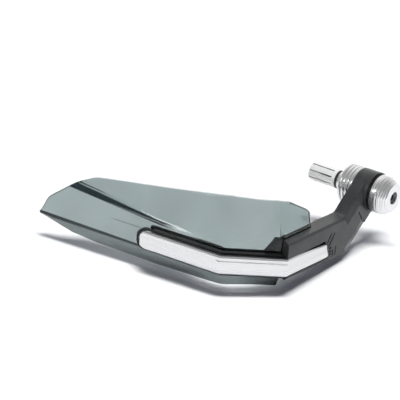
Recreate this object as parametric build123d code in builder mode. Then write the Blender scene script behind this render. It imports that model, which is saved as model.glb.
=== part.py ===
from build123d import *
from math import asin, atan2, cos, hypot, radians, sin, sqrt, tan
import os

os.makedirs("parts", exist_ok=True)

# Hand guard for the left end of a motorcycle handlebar.
# Frame: origin on the handlebar axis, on the seat the tube end butts against.
# +X outboard along the bar, +Y back to the rider, +Z up; the guard reaches forward along -Y.
clear = 0.1              # gap between faces that meet
hole_gap = 0.2           # radial gap of a clearance hole
thread_gap = 0.05        # radial gap of a threaded hole
over = 1.0               # how far a cut runs past the face it starts from

# Bar-end clamp, all turned about the X axis
tube_bore_r = 9.0        # 22 mm handlebar tube with an 18 mm bore
plug_gap = 0.5           # hub and unspread sleeve to the tube
bolt_r = 3.0             # M6
bolt_head_r = 5.0
bolt_head_h = 6.0
bolt_end = 1.5           # bolt showing beyond the sleeve
bolt_hex = 5.0           # across flats
bolt_hex_depth = 3.2
cup_r = 18.0
cup_wall = 4.5
cup_lip = 6.0            # how far the cup reaches over the tube end
cup_floor = 8.0
cup_lip_bevel = 1.0
cup_rim_bevel = 0.6
hub_len = 13.0
ring_w = 2.4             # square-cut sealing ring
ring_play = 0.02         # ring to its neck, and below the plug
sleeve_len = 28.0
sleeve_lip = 1.9         # wall at the mouth of the sleeve
sleeve_lip_bevel = 0.6
sleeve_play = 1.4        # bolt to sleeve bore
slit_count = 8
slit_w = 1.3
slit_land = 3.5          # ring left whole at the hub end
cone_len = 11.0
cone_proud = 0.4
washer_t = 2.0
washer_r = 16.6
weight_r = 17.0
weight_len = 15.8
weight_bevel = 0.8
weight_nose = 7.2        # length of the tapered end
weight_end_r = 12.8
weight_band = 6.9        # from the washer to the first grip groove
head_gap = 0.6           # bolt head to its counterbore
counterbore_depth = 8.0
groove_w = 0.9           # side of the square V of a grip groove
weight_groove_pitch = 1.9
weight_grooves = 5
cup_groove_pitch = 3.4
cup_grooves = 3

# Layers, measured inward from the outer face of the trim strip
strip_t = 5.0
rail_t = 3.9
shield_t = 3.0
tongue_t = 2.9
arm_out_w = 0.5          # arm face set back from the strip face
shield_w = strip_t + rail_t + clear
tongue_w = shield_w + shield_t + clear
arm_in_w = tongue_w + tongue_t

# Plan path of that face: S1 runs forward, S2 and S3 turn inboard
eye_proud = 0.9          # eye standing outboard of the strip
eye_t = arm_in_w + eye_proud
path_x = cup_floor + arm_in_w
bend_y = -128.0
turn_1 = 48.3
turn_2 = 34.1
run_2 = 55.6
run_3 = 79.0             # S3 as far as the tip of the strip

# Trim strip and rail
strip_z = -34.0          # middle of the strip, below the bar axis
strip_h = 16.0
strip_back = 57.0        # top edge of the strip along S1, back from the bend
strip_fall = 3.4         # fall of that edge towards the back
strip_sag = 1.5          # fall of the lower edge
end_lean = 5.5           # how much further back the lower edge ends
strip_bevel = 1.2
heel_bevel = 2.2
tip_flat = 3.0           # straight end between the round corners of the tip
tip_r = (strip_h - tip_flat) / 2
rail_above = 1.7         # rail showing above, below and beyond the strip
rail_below = 2.8
rail_nose = 5.4
rail_nose_above = 0.3    # its top lowered round the tip of the strip
rail_nose_start = 69.0   # along S3
rail_nose_slope = 2.0
rail_nose_r = 7.8
rail_top = strip_z + strip_h / 2 + rail_above
rail_bottom = strip_z - strip_h / 2 - rail_below

# Arm
arm_above = 21.5         # arm top over the middle of the strip
arm_below = 14.5         # arm underside at the elbow
bend_below = 10.5        # arm underside at the first bend
arm_top = strip_z + arm_above
arm_bottom = strip_z - arm_below
bend_bottom = strip_z - bend_below
eye_r = 18.0
elbow_top = (-41.0, arm_top)
elbow_bottom = (-35.0, arm_bottom)
elbow_fillet = 7.0
belly_r = 14.0           # bar axis to the underside of the riser
belly_fillet = 12.0
edge_bevel = 1.6
shin_deep = 7.0          # broad bevel down the outer edge of the riser
shin_wide = 2.6
shin_run_out = 4.0
belly_deep = 7.7         # broad bevel along the underside of the riser
belly_wide = 1.7
belly_run = 33.0
nick_at = (-19.8, -17.4)  # slit at the upper end of that bevel
nick_len = 10.8
nick_lean = -53.0
nick_w = 1.2
nick_depth = 1.2
tongue_above = 10.0
tongue_below = 5.5
tongue_short = 4.5       # tongue ending before the tip of the strip
tongue_root = 12.0       # tongue reaching back into the arm
tongue_top = strip_z + tongue_above
tongue_bottom = strip_z - tongue_below
tongue_end = run_3 - tongue_short
gusset_top = 5.0         # gusset along the tongue at the arm top
gusset_mid = 14.0
gusset_low = 10.0
gusset_foot = 3.0
gusset_edge = 1.0

# Lattice moulded into the back of the arm
wall = 3.0
rib_t = 1.3
row_pitch = 6.4
row_count = 7
rib_pitch = 8.6
rib_lean = 42.0
deep_pocket = 6.5
shallow_pocket = 2.0     # behind the slot of the shield
eye_rim = 2.5
bend_solid = 10.0        # arm left solid at the bend
slot_depth = 8.1
slot_floor = 1.5
slot_bottom = arm_top - slot_depth

# Vents behind the end of the strip: two slanted slots over three short teeth and two upright slots
vent_w = 1.6
vent_depth = 1.8
vent_lean = 55.5
vent_short = 10.4
vent_long = 13.8
vent_short_at = (4.3, 8.9)   # behind the strip's top corner, over its middle
vent_long_at = (8.4, 6.6)
tooth_w = 1.4
tooth_len = 3.6
tooth_pitch = 3.0
tooth_count = 3
tooth_at = (7.6, -3.9)
upright_short = 6.0
upright_long = 9.2
upright_short_at = (12.0, -6.7)
upright_long_at = (16.2, -5.8)

# Screws
arm_screw_r = 2.0
arm_screw_head_r = 3.6
arm_screw_head = 3.4
arm_screw_hex = 3.0
arm_screw_hex_depth = 2.0
boss_near = 20.0         # back from the first bend
boss_far = 45.0
boss_rise = 2.5
boss_recess = 4.6
boss_wall = 1.5
driver_gap = 1.7         # screw head to its recess
boss_z = strip_z + boss_rise
boss_recess_r = arm_screw_head_r + driver_gap
boss_r = boss_recess_r + boss_wall
shield_screw_r = 2.5
shield_screw_head_r = 4.8
shield_screw_head = 2.6
shield_screw_taper = 24.0
shield_screw_hex = 3.0
shield_screw_hex_depth = 1.8
screw_bite = 3.4         # thread held by the strip
screw_rise = 3.0
screw_2 = 24.0           # along S2
screw_3_near = 14.0      # along S3
screw_3_far = 38.0
screw_z = strip_z + screw_rise

# Wind shield: creases of its section, from the lower lip up
lip_back = 3.6           # lip set back from the ridge
ridge_below = 5.7        # ridge under the tongue
crease_below = 4.0       # crease under the top of the tongue
lean_above = 2.0         # pane upright as far as this over it
ridge_z = tongue_bottom - ridge_below
crease_z = tongue_top - crease_below
lip_w = shield_w + lip_back
lean = 20.0              # lean of the upper pane
step_rise = 2.6          # height of the step between blade and upper pane
wing_rise = 1.5          # upright foot of the wing over the arm top
wing_turn = 1.4          # height over which the foot turns to its lean
wing_kick = 0.3
wing_back = 49.5         # wing of the shield, back from the first bend
wing_top_fall = 6.0
lean_z = tongue_top + lean_above
wing_lean_z = arm_top + wing_rise
top_bend_1 = 15.8        # top edge at the two bends
top_bend_2 = 17.5
top_fall = 0.125         # drop of the top edge per mm along S3
crease_run = 24.0        # along S2, where the crease starts to turn into the step
low_run = 66.0           # along S3, where the lip hangs lowest
blade_end = 191.0        # along S3, inboard end of the blade
brow_back = 35.0         # sections before that end
crown_back = 61.0
lip_bend_1 = 10.3        # lip below the ridge at each section
lip_bend_2 = 11.8
lip_low = 13.3
lip_crown = 12.2
lip_brow = 10.3
lip_end = 2.3
step_bend_2 = 6.5        # step above the crease, then rising along S3
step_low = 9.0
step_slope = 0.092
end_pane = 5.0           # upper pane left at the end section
nose_cut = 60.0

# Outline of the inboard end (back from the blade end, height over the ridge)
tip_outline = [(1.0, 1.7), (9.5, 18.2), (35.0, 37.2), (51.0, 44.7), (63.0, 48.0)]
# Outline of the wing (forward of its back end, drop from the top edge at the first bend)
wing_outline = [(21.0, 5.2), (4.0, 14.2), (2.1, 17.4), (5.5, 24.8), (7.0, 45.0)]
slot_back = wing_back - wing_outline[3][0]


# Plan geometry of the path
def turned(angle):
    return Vector(-sin(radians(angle)), -cos(radians(angle)), 0)


def inward(angle):
    return Vector(-cos(radians(angle)), sin(radians(angle)), 0)


up = Vector(0, 0, 1)
in_1 = inward(0)
go_2 = turned(turn_1)
go_3 = turned(turn_1 + turn_2)
in_2 = inward(turn_1)
in_3 = inward(turn_1 + turn_2)
bend_1 = Vector(path_x, bend_y, 0)
bend_2 = bend_1 + go_2 * run_2
half_1 = inward(turn_1 / 2)
half_2 = inward(turn_1 + turn_2 / 2)
cut_1 = 1 / cos(radians(turn_1 / 2))
cut_2 = 1 / cos(radians(turn_2 / 2))
miter_1 = half_1 * cut_1
miter_2 = half_2 * cut_2
along_1 = turned(turn_1 / 2)
fold_slope = tan(radians(turn_1 / 2))


def on_1(back, w):
    """Point on S1, back from the first bend and w inward."""
    return Vector(path_x - w, bend_y + back, 0)


def on_2(s, w):
    return bend_1 + go_2 * s + in_2 * w


def on_3(s, w):
    return bend_2 + go_3 * s + in_3 * w


def flat(points):
    return [(p.X, p.Y) for p in points]


def face_plane(origin, inward_dir):
    """Upright plane through origin: local x runs along the path, y up, normal inward."""
    return Plane(origin=origin, x_dir=up.cross(inward_dir), z_dir=inward_dir)


def shield_screw_axes(w):
    """Where the three shield screws cross depth w, with their inward direction."""
    places = [(on_2(screw_2, w), in_2), (on_3(screw_3_near, w), in_3), (on_3(screw_3_far, w), in_3)]
    return [(place + up * screw_z, way) for place, way in places]


boss_places = [(bend_y + boss_near, boss_z), (bend_y + boss_far, boss_z)]

# Strip on S1 from the side: its top edge falls back to a leaning end, its lower edge sags a little
strip_top = strip_z + strip_h / 2
strip_low = strip_z - strip_h / 2
fall_start = (bend_y + strip_t, strip_top)
top_corner = (bend_y + strip_back, strip_top - strip_fall)
heel_corner = (bend_y + strip_back + end_lean, strip_low - strip_sag)
sag_start = (bend_y + strip_t, strip_low)
seat_lean = end_lean / (top_corner[1] - heel_corner[1])
seat_corner = (top_corner[0] - (strip_fall + clear) * seat_lean + clear, strip_top + clear)

# Cup: seats on the tube end, with a hub that enters the tube
plug_r = tube_bore_r - plug_gap
neck_r = plug_r - ring_w
neck_len = ring_w + clear
bolt_hole_r = bolt_r + hole_gap
with BuildPart() as bar_end_cup:
    with BuildSketch(Plane.XY):
        with BuildLine():
            Polyline(
                (-hub_len - neck_len, bolt_hole_r),
                (-hub_len - neck_len, neck_r),
                (-hub_len, neck_r),
                (-hub_len, plug_r),
                (0, plug_r),
                (0, cup_r - cup_wall),
                (-cup_lip, cup_r - cup_wall),
                (-cup_lip, cup_r - cup_lip_bevel),
                (cup_lip_bevel - cup_lip, cup_r),
                (cup_floor - cup_rim_bevel, cup_r),
                (cup_floor, cup_r - cup_rim_bevel),
                (cup_floor, bolt_hole_r),
                close=True,
            )
        make_face()
        with Locations(((cup_floor - cup_lip) / 2, cup_r)):
            with GridLocations(cup_groove_pitch, 1, cup_grooves, 1):
                Rectangle(groove_w, groove_w, rotation=45, mode=Mode.SUBTRACT)
    revolve(axis=Axis.X)
bar_end_cup.part.label = "bar_end_cup"
export_step(bar_end_cup.part, "parts/bar_end_cup.step")

# Square-cut rubber ring in the neck between the hub and the sleeve
with BuildPart() as sealing_ring:
    with BuildSketch(Plane.XY):
        with Locations((-hub_len - neck_len / 2, neck_r + ring_w / 2)):
            Rectangle(ring_w, ring_w - 2 * ring_play)
    revolve(axis=Axis.X)
sealing_ring.part.label = "sealing_ring"
export_step(sealing_ring.part, "parts/sealing_ring.step")

# Expanding sleeve: slit tube with a conical mouth
sleeve_mouth_r = plug_r - sleeve_lip
sleeve_bore_r = bolt_r + sleeve_play
sleeve_back = -hub_len - neck_len
sleeve_front = sleeve_back - sleeve_len
with BuildPart() as expansion_sleeve:
    with BuildSketch(Plane.XY):
        with BuildLine():
            Polyline(
                (sleeve_back, sleeve_bore_r),
                (sleeve_back, plug_r),
                (sleeve_front + sleeve_lip_bevel, plug_r),
                (sleeve_front, plug_r - sleeve_lip_bevel),
                (sleeve_front, sleeve_mouth_r),
                (sleeve_front + cone_len, sleeve_bore_r),
                close=True,
            )
        make_face()
    revolve(axis=Axis.X)
    with BuildSketch(Plane.YZ.offset(sleeve_front)):
        with PolarLocations((plug_r + sleeve_bore_r) / 2, slit_count, start_angle=180 / slit_count):
            Rectangle(plug_r - sleeve_bore_r + 2 * over, slit_w)
    extrude(amount=sleeve_len - slit_land, mode=Mode.SUBTRACT)
expansion_sleeve.part.label = "expansion_sleeve"
export_step(expansion_sleeve.part, "parts/expansion_sleeve.step")

# Cone nut drawn into the mouth of the sleeve by the bolt
with BuildPart() as cone_nut:
    with BuildSketch(Plane.XY):
        with BuildLine():
            Polyline(
                (sleeve_front - cone_proud, bolt_r + thread_gap),
                (sleeve_front - cone_proud, sleeve_mouth_r - clear),
                (sleeve_front, sleeve_mouth_r - clear),
                (sleeve_front + cone_len, sleeve_bore_r - clear),
                (sleeve_front + cone_len, bolt_r + thread_gap),
                close=True,
            )
        make_face()
    revolve(axis=Axis.X)
cone_nut.part.label = "cone_nut"
export_step(cone_nut.part, "parts/cone_nut.step")

# Thin ring between the eye of the arm and the weight
eye_end = cup_floor + eye_t
with BuildPart() as eye_washer:
    with BuildSketch(Plane.YZ.offset(eye_end)):
        Circle(washer_r)
        Circle(bolt_hole_r, mode=Mode.SUBTRACT)
    extrude(amount=washer_t)
eye_washer.part.label = "eye_washer"
export_step(eye_washer.part, "parts/eye_washer.step")

# Outer weight: plain band, grip grooves running down its tapered end, counterbore for the bolt head
weight_x = eye_end + washer_t
weight_tip = weight_x + weight_len
bolt_seat = weight_tip - counterbore_depth
taper = (weight_r - weight_end_r) / weight_nose
groove_steps = [weight_band + weight_groove_pitch * i for i in range(weight_grooves)]
with BuildPart() as bar_end_weight:
    with BuildSketch(Plane.XY):
        with BuildLine():
            Polyline(
                (weight_x, bolt_hole_r),
                (weight_x, weight_r - weight_bevel),
                (weight_x + weight_bevel, weight_r),
                (weight_tip - weight_nose, weight_r),
                (weight_tip, weight_end_r),
                (weight_tip, bolt_head_r + head_gap),
                (bolt_seat, bolt_head_r + head_gap),
                (bolt_seat, bolt_hole_r),
                close=True,
            )
        make_face()
        for step in groove_steps:
            with Locations((weight_x + step, weight_r - taper * max(0, step - weight_len + weight_nose))):
                Rectangle(groove_w, groove_w, rotation=45, mode=Mode.SUBTRACT)
    revolve(axis=Axis.X)
bar_end_weight.part.label = "bar_end_weight"
export_step(bar_end_weight.part, "parts/bar_end_weight.step")

# Through bolt: socket head in the weight, shank as far as the cone nut
with BuildPart() as bar_end_bolt:
    with BuildSketch(Plane.YZ.offset(bolt_seat)):
        Circle(bolt_head_r)
    extrude(amount=bolt_head_h)
    with BuildSketch(Plane.YZ.offset(sleeve_front - bolt_end)):
        Circle(bolt_r)
    extrude(amount=bolt_seat - sleeve_front + bolt_end)
    with BuildSketch(Plane.YZ.offset(bolt_seat + bolt_head_h)):
        RegularPolygon(bolt_hex / 2, 6, major_radius=False)
    extrude(amount=-bolt_hex_depth, mode=Mode.SUBTRACT)
bar_end_bolt.part.label = "bar_end_bolt"
export_step(bar_end_bolt.part, "parts/bar_end_bolt.step")

# Arm: moulded in one with its eye, lattice back and bent tongue
arm_in_x = path_x - arm_in_w
arm_t = arm_in_w - arm_out_w
arm_len = eye_r - bend_y
riser = sqrt(hypot(*elbow_top) ** 2 - eye_r ** 2)
top_turn = atan2(-elbow_top[1], -elbow_top[0]) + asin(eye_r / hypot(*elbow_top))
low_turn = atan2(-elbow_bottom[1], -elbow_bottom[0]) - asin(belly_r / hypot(*elbow_bottom))


def riser_and_beam():
    """Side outline without the eye: riser down to the elbow, then forward past the bend."""
    with BuildSketch(Plane.YZ.offset(arm_in_x)) as outline:
        with BuildLine():
            Polyline(
                (-eye_r * sin(top_turn), eye_r * cos(top_turn)),
                elbow_top,
                (bend_y - arm_t, arm_top),
                (bend_y - arm_t, bend_bottom),
                elbow_bottom,
                (belly_r * sin(low_turn), -belly_r * cos(low_turn)),
                close=True,
            )
        make_face()
    return outline


def lattice(slot_covered):
    """Pocket inside the wall, less the ribs, the screw bosses and the solid eye and bend."""
    with BuildSketch(Plane.YZ.offset(arm_in_x)) as cells:
        add(riser_and_beam().sketch_local)
        offset(amount=-wall, kind=Kind.INTERSECTION, mode=Mode.REPLACE)
        Circle(eye_r - eye_rim, mode=Mode.SUBTRACT)
        with Locations((bend_y - arm_t, strip_z)):
            Rectangle(2 * (bend_solid + arm_t), arm_len, mode=Mode.SUBTRACT)
        with Locations((bend_y / 2, bend_bottom + wall + 2 * row_pitch)):
            with GridLocations(1, row_pitch, 1, row_count):
                Rectangle(2 * arm_len, rib_t, mode=Mode.SUBTRACT)
        with Locations((bend_y / 2, (arm_top + arm_bottom) / 2)):
            with GridLocations(rib_pitch, 1, round(arm_len / rib_pitch), 1):
                Rectangle(rib_t, arm_len, rotation=-rib_lean, mode=Mode.SUBTRACT)
        with Locations(*boss_places):
            Circle(boss_r, mode=Mode.SUBTRACT)
        if slot_covered:
            with Locations((bend_y + slot_back / 2, arm_top)):
                Rectangle(slot_back + 2 * wall, 2 * (slot_depth + slot_floor), mode=Mode.SUBTRACT)
    return cells.sketch


with BuildPart() as guard_arm:
    with BuildSketch(Plane.YZ.offset(arm_in_x)):
        add(riser_and_beam().sketch_local)
        Circle(eye_r)
    extrude(amount=arm_t)
    elbow = guard_arm.edges().filter_by(Axis.X).sort_by_distance((path_x, *elbow_top))[0]
    fillet(elbow, elbow_fillet)
    belly = guard_arm.edges().filter_by(Axis.X).sort_by_distance((path_x, *elbow_bottom))[0]
    fillet(belly, belly_fillet)
    chamfer(guard_arm.faces().sort_by(Axis.X)[-1].edges(), edge_bevel)
    split(bisect_by=Plane(bend_1 - along_1 * clear, z_dir=along_1), keep=Keep.BOTTOM)
    # broad bevel down the outer edge of the riser
    rise = Vector(0, cos(top_turn), sin(top_turn))
    shin = Vector(path_x - arm_out_w, *elbow_top) - rise * shin_run_out
    with BuildSketch(Plane(shin, x_dir=(1, 0, 0), z_dir=rise)):
        with BuildLine():
            Polyline(
                (over, -over),
                (-shin_wide, -over),
                (-shin_wide, 0),
                (0, shin_deep),
                (over, shin_deep),
                close=True,
            )
        make_face()
    extrude(amount=shin_run_out + riser, mode=Mode.SUBTRACT)
    # broad bevel along its underside, ending short of the eye
    climb = Vector(0, cos(low_turn), sin(low_turn))
    with BuildSketch(Plane((path_x - arm_out_w, *elbow_bottom), x_dir=(1, 0, 0), z_dir=climb)):
        with BuildLine():
            Polyline(
                (over, over),
                (-belly_wide, over),
                (-belly_wide, 0),
                (0, -belly_deep),
                (over, -belly_deep),
                close=True,
            )
        make_face()
    extrude(amount=belly_run, mode=Mode.SUBTRACT)
    # lattice pockets, shallower behind the slot that holds the shield
    extrude(lattice(False), amount=shallow_pocket, mode=Mode.SUBTRACT)
    extrude(lattice(True), amount=deep_pocket, mode=Mode.SUBTRACT)
    # eye
    with BuildSketch(Plane.YZ.offset(cup_floor)):
        Circle(eye_r)
    extrude(amount=eye_t)
    with BuildSketch(Plane.YZ.offset(cup_floor)):
        Circle(bolt_hole_r)
    extrude(amount=eye_t, mode=Mode.SUBTRACT)
    # seat for the trim strip and slot for the shield wing
    with BuildSketch(Plane.YZ.offset(path_x - strip_t - clear)):
        with BuildLine():
            Polyline(
                (bend_y - arm_in_w, strip_top + clear),
                seat_corner,
                (heel_corner[0] + clear, heel_corner[1] - clear),
                (sag_start[0], strip_low - clear),
                (bend_y - arm_in_w, strip_low - clear),
                close=True,
            )
        make_face()
    extrude(amount=strip_t + clear + over, mode=Mode.SUBTRACT)
    with BuildSketch(Plane.XY.offset(slot_bottom)):
        with BuildLine():
            Polyline(
                *flat([
                    on_1(slot_back + clear, shield_w - clear),
                    on_1(slot_back + clear, shield_w + shield_t + clear),
                    on_1(-arm_in_w, shield_w + shield_t + clear),
                    on_1(-arm_in_w, shield_w - clear),
                ]),
                close=True,
            )
        make_face()
    extrude(amount=slot_depth + over, mode=Mode.SUBTRACT)
    # tongue behind the shield, along S2 and S3
    with BuildSketch(Plane.XY.offset(tongue_bottom)):
        with BuildLine():
            Polyline(
                *flat([
                    on_1(tongue_root, tongue_w),
                    bend_1 + miter_1 * tongue_w,
                    bend_2 + miter_2 * tongue_w,
                    on_3(tongue_end, tongue_w),
                    on_3(tongue_end, arm_in_w),
                    bend_2 + miter_2 * arm_in_w,
                    bend_1 + miter_1 * arm_in_w,
                    on_1(tongue_root, arm_in_w),
                ]),
                close=True,
            )
        make_face()
    extrude(amount=tongue_top - tongue_bottom)
    # gusset from the full height of the arm down to the tongue
    gusset_start = tongue_w * fold_slope
    with BuildSketch(face_plane(on_2(0, tongue_w), in_2)):
        with BuildLine():
            Polyline(
                (gusset_start, arm_top),
                (gusset_start + gusset_top, arm_top),
                (gusset_start + gusset_mid, tongue_top - gusset_edge),
                (gusset_start + gusset_low, tongue_bottom + gusset_edge),
                (gusset_start + gusset_foot, bend_bottom + gusset_edge),
                (gusset_start, bend_bottom + gusset_edge),
                close=True,
            )
        make_face()
    extrude(amount=tongue_t)
    # screw bosses in the lattice and screw holes in the tongue
    with BuildSketch(Plane.YZ.offset(arm_in_x)):
        with Locations(*boss_places):
            Circle(boss_recess_r)
    extrude(amount=boss_recess, mode=Mode.SUBTRACT)
    with BuildSketch(Plane.YZ.offset(arm_in_x)):
        with Locations(*boss_places):
            Circle(arm_screw_r + hole_gap)
    extrude(amount=arm_t, mode=Mode.SUBTRACT)
    for station, way in shield_screw_axes(shield_w):
        with BuildSketch(Plane(station, z_dir=way)):
            Circle(shield_screw_r + hole_gap)
        extrude(amount=arm_in_w, mode=Mode.SUBTRACT)
    # vents in the outer face behind the end of the strip, and the slit above the underside bevel
    vent_corner = Plane((path_x - arm_out_w, bend_y + strip_back, strip_z), x_dir=(0, 1, 0), z_dir=(1, 0, 0))
    with BuildSketch(vent_corner):
        with Locations(vent_short_at):
            SlotOverall(vent_short, vent_w, rotation=vent_lean)
        with Locations(vent_long_at):
            SlotOverall(vent_long, vent_w, rotation=vent_lean)
        with Locations(tooth_at):
            with GridLocations(1, tooth_pitch, 1, tooth_count):
                Rectangle(tooth_len, tooth_w)
        with Locations(upright_short_at):
            SlotOverall(upright_short, tooth_w, rotation=90)
        with Locations(upright_long_at):
            SlotOverall(upright_long, tooth_w, rotation=90)
    extrude(amount=-vent_depth, mode=Mode.SUBTRACT)
    with BuildSketch(Plane.YZ.offset(path_x - arm_out_w)):
        with Locations(nick_at):
            SlotOverall(nick_len, nick_w, rotation=nick_lean)
    extrude(amount=-nick_depth, mode=Mode.SUBTRACT)
guard_arm.part.label = "guard_arm"
export_step(guard_arm.part, "parts/guard_arm.step")


# Wind shield: one folded pane, wing on S1, leaning pane and lower blade on S2 and S3
def pane(origin, across, scale, creases):
    """Closed section of the pane; creases lists (width, height) up its outer face."""
    outer = [(w * scale, z) for w, z in creases]
    inner = [((w + shield_t) * scale, z) for w, z in reversed(creases)]
    with BuildSketch(Plane(origin, x_dir=across, z_dir=across.cross(up))) as section:
        with BuildLine():
            Polyline(*outer, *inner, close=True)
        make_face()
    return section.sketch


def leaned(z):
    return shield_w + (z - lean_z) * tan(radians(lean))


def blade(lip, step, edge_z):
    """Creases on S3: lip below the ridge, step above the crease, then the top edge."""
    step_z = crease_z + step
    step_w = max(leaned(step_z + step_rise), shield_w + clear)
    return [
        (lip_w, ridge_z - lip),
        (shield_w, ridge_z),
        (shield_w, crease_z),
        (shield_w, step_z),
        (step_w, step_z + step_rise),
        (leaned(edge_z), edge_z),
    ]


def along_3(s, lip):
    """Section at s along S3, where the step has begun to climb."""
    creases = blade(lip, step_low + step_slope * (s - low_run), top_bend_2 - top_fall * s)
    return pane(on_3(s, 0), in_3, 1, creases)


bent_foot = [(shield_w, wing_lean_z - wing_turn / 2), (shield_w + wing_kick, wing_lean_z + wing_turn / 2)]

# wing that stands in the slot of the arm
with BuildPart() as wing:
    wing_foot = [(shield_w, slot_bottom + clear)] + bent_foot
    wing_end_z = top_bend_1 - wing_top_fall
    loft(
        [
            pane(bend_1, half_1, cut_1, wing_foot + [(leaned(top_bend_1), top_bend_1)]),
            pane(on_1(wing_back, 0), in_1, 1, wing_foot + [(leaned(wing_end_z), wing_end_z)]),
        ],
        ruled=True,
    )
    fold_back = leaned(top_bend_1) * fold_slope
    sky = top_bend_1 + eye_r
    with BuildSketch(Plane.YZ):
        with BuildLine():
            Polyline(
                (bend_y - fold_back, sky),
                (bend_y + fold_back, top_bend_1),
                *[(bend_y + wing_back - ahead, top_bend_1 - drop) for ahead, drop in wing_outline],
                (bend_y + 2 * wing_back, top_bend_1 - wing_outline[-1][1]),
                (bend_y + 2 * wing_back, sky),
                close=True,
            )
        make_face()
    extrude(amount=2 * path_x, both=True, mode=Mode.SUBTRACT)

with BuildPart() as wind_shield:
    upright = [(lip_w, ridge_z - lip_bend_1), (shield_w, ridge_z), (shield_w, crease_z)]
    front = upright + bent_foot + [(leaned(top_bend_1), top_bend_1)]
    end_step = step_low + step_slope * (blade_end - low_run)
    end_edge = crease_z + end_step + step_rise + end_pane
    loft(
        [
            pane(bend_1, half_1, cut_1, front),
            pane(on_2(crease_run, 0), in_2, 1, front),
            pane(bend_2, half_2, cut_2, blade(lip_bend_2, step_bend_2, top_bend_2)),
            along_3(low_run, lip_low),
            along_3(blade_end - crown_back, lip_crown),
            along_3(blade_end - brow_back, lip_brow),
            pane(on_3(blade_end, 0), in_3, 1, blade(lip_end, end_step, end_edge)),
        ],
        ruled=True,
    )
    # cut the inboard end to its pointed outline
    with BuildSketch(face_plane(on_3(0, 0), in_3)):
        with BuildLine():
            Polyline(
                *[(blade_end - back, ridge_z + height) for back, height in tip_outline],
                (blade_end - tip_outline[-1][0], sky),
                (blade_end + over, sky),
                (blade_end + over, ridge_z + tip_outline[0][1]),
                close=True,
            )
        make_face()
    extrude(amount=nose_cut, mode=Mode.SUBTRACT)
    add(wing.part)
    for station, way in shield_screw_axes(0):
        with BuildSketch(Plane(station, z_dir=way)):
            Circle(shield_screw_r + hole_gap)
        extrude(amount=arm_in_w, mode=Mode.SUBTRACT)
wind_shield.part.label = "wind_shield"
export_step(wind_shield.part, "parts/wind_shield.step")

# Black rail between the strip and the shield, lower round the tip of the strip
nose_end = run_3 + rail_nose
nose_top = strip_top + rail_nose_above
with BuildPart() as front_rail:
    with BuildSketch(Plane.XY.offset(rail_bottom)):
        with BuildLine():
            Polyline(
                *flat([
                    bend_1 + miter_1 * (strip_t + clear) + along_1 * clear,
                    bend_2 + miter_2 * (strip_t + clear),
                    on_3(nose_end, strip_t + clear),
                    on_3(nose_end, shield_w - clear),
                    bend_2 + miter_2 * (shield_w - clear),
                    bend_1 + miter_1 * (shield_w - clear) + along_1 * clear,
                ]),
                close=True,
            )
        make_face()
    extrude(amount=rail_top - rail_bottom)
    with BuildSketch(face_plane(on_3(0, 0), in_3)):
        with BuildLine():
            Polyline(
                (rail_nose_start, rail_top),
                (rail_nose_start + rail_nose_slope, nose_top),
                (nose_end + over, nose_top),
                (nose_end + over, rail_top + over),
                (rail_nose_start, rail_top + over),
                close=True,
            )
        make_face()
    extrude(amount=arm_in_w, mode=Mode.SUBTRACT)
    rail_tip = on_3(nose_end, strip_t + rail_t / 2) + up * strip_z
    nose = front_rail.faces().sort_by_distance(rail_tip)[0]
    fillet(nose.edges().filter_by(Axis.Z, reverse=True), rail_nose_r)
    for station, way in shield_screw_axes(0):
        with BuildSketch(Plane(station, z_dir=way)):
            Circle(shield_screw_r + hole_gap)
        extrude(amount=arm_in_w, mode=Mode.SUBTRACT)
front_rail.part.label = "front_rail"
export_step(front_rail.part, "parts/front_rail.step")

# Bright trim strip, bent twice, with a rounded tip and bevelled edges
far_back = bend_y + strip_back + 2 * end_lean
far_ahead = 2 * bend_y
with BuildPart() as trim_strip:
    with BuildSketch(Plane.XY.offset(heel_corner[1])):
        with BuildLine():
            Polyline(
                *flat([
                    on_1(strip_back + end_lean, 0),
                    bend_1,
                    bend_2,
                    on_3(run_3, 0),
                    on_3(run_3, strip_t),
                    bend_2 + miter_2 * strip_t,
                    bend_1 + miter_1 * strip_t,
                    on_1(strip_back + end_lean, strip_t),
                ]),
                close=True,
            )
        make_face()
    extrude(amount=strip_top - heel_corner[1])
    with BuildSketch(Plane.YZ):
        with BuildLine():
            Polyline(
                fall_start,
                top_corner,
                heel_corner,
                (far_back, heel_corner[1]),
                (far_back, strip_top + over),
                (fall_start[0], strip_top + over),
                close=True,
            )
        make_face()
        with BuildLine():
            Polyline(
                heel_corner,
                sag_start,
                (far_ahead, strip_low),
                (far_ahead, heel_corner[1] - over),
                (heel_corner[0], heel_corner[1] - over),
                close=True,
            )
        make_face()
    extrude(amount=blade_end, both=True, mode=Mode.SUBTRACT)
    tip = trim_strip.faces().sort_by_distance(on_3(run_3, strip_t / 2) + up * strip_z)[0]
    fillet(tip.edges().filter_by(Axis.Z, reverse=True), tip_r)
    outer_faces = [
        trim_strip.faces().sort_by_distance(middle + up * strip_z)[0]
        for middle in (on_1(strip_back / 2, 0), on_2(run_2 / 2, 0), on_3(run_3 / 2, 0))
    ]
    long_edges = [
        edge
        for face in outer_faces
        for edge in face.edges().filter_by(GeomType.LINE).filter_by(Axis.Z, reverse=True)
        if abs(edge.center().Z - strip_z) > strip_h / 4
    ]
    chamfer(long_edges, strip_bevel)
    heel = trim_strip.edges().filter_by(Axis.X).sort_by(Axis.Z)[0]
    chamfer(heel, heel_bevel)
    for station, way in shield_screw_axes(strip_t):
        with BuildSketch(Plane(station, z_dir=way * -1)):
            Circle(shield_screw_r + thread_gap)
        extrude(amount=screw_bite + clear, mode=Mode.SUBTRACT)
    with BuildSketch(Plane.YZ.offset(path_x - strip_t)):
        with Locations(*boss_places):
            Circle(arm_screw_r + thread_gap)
    extrude(amount=screw_bite + clear, mode=Mode.SUBTRACT)
trim_strip.part.label = "trim_strip"
export_step(trim_strip.part, "parts/trim_strip.step")

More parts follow.
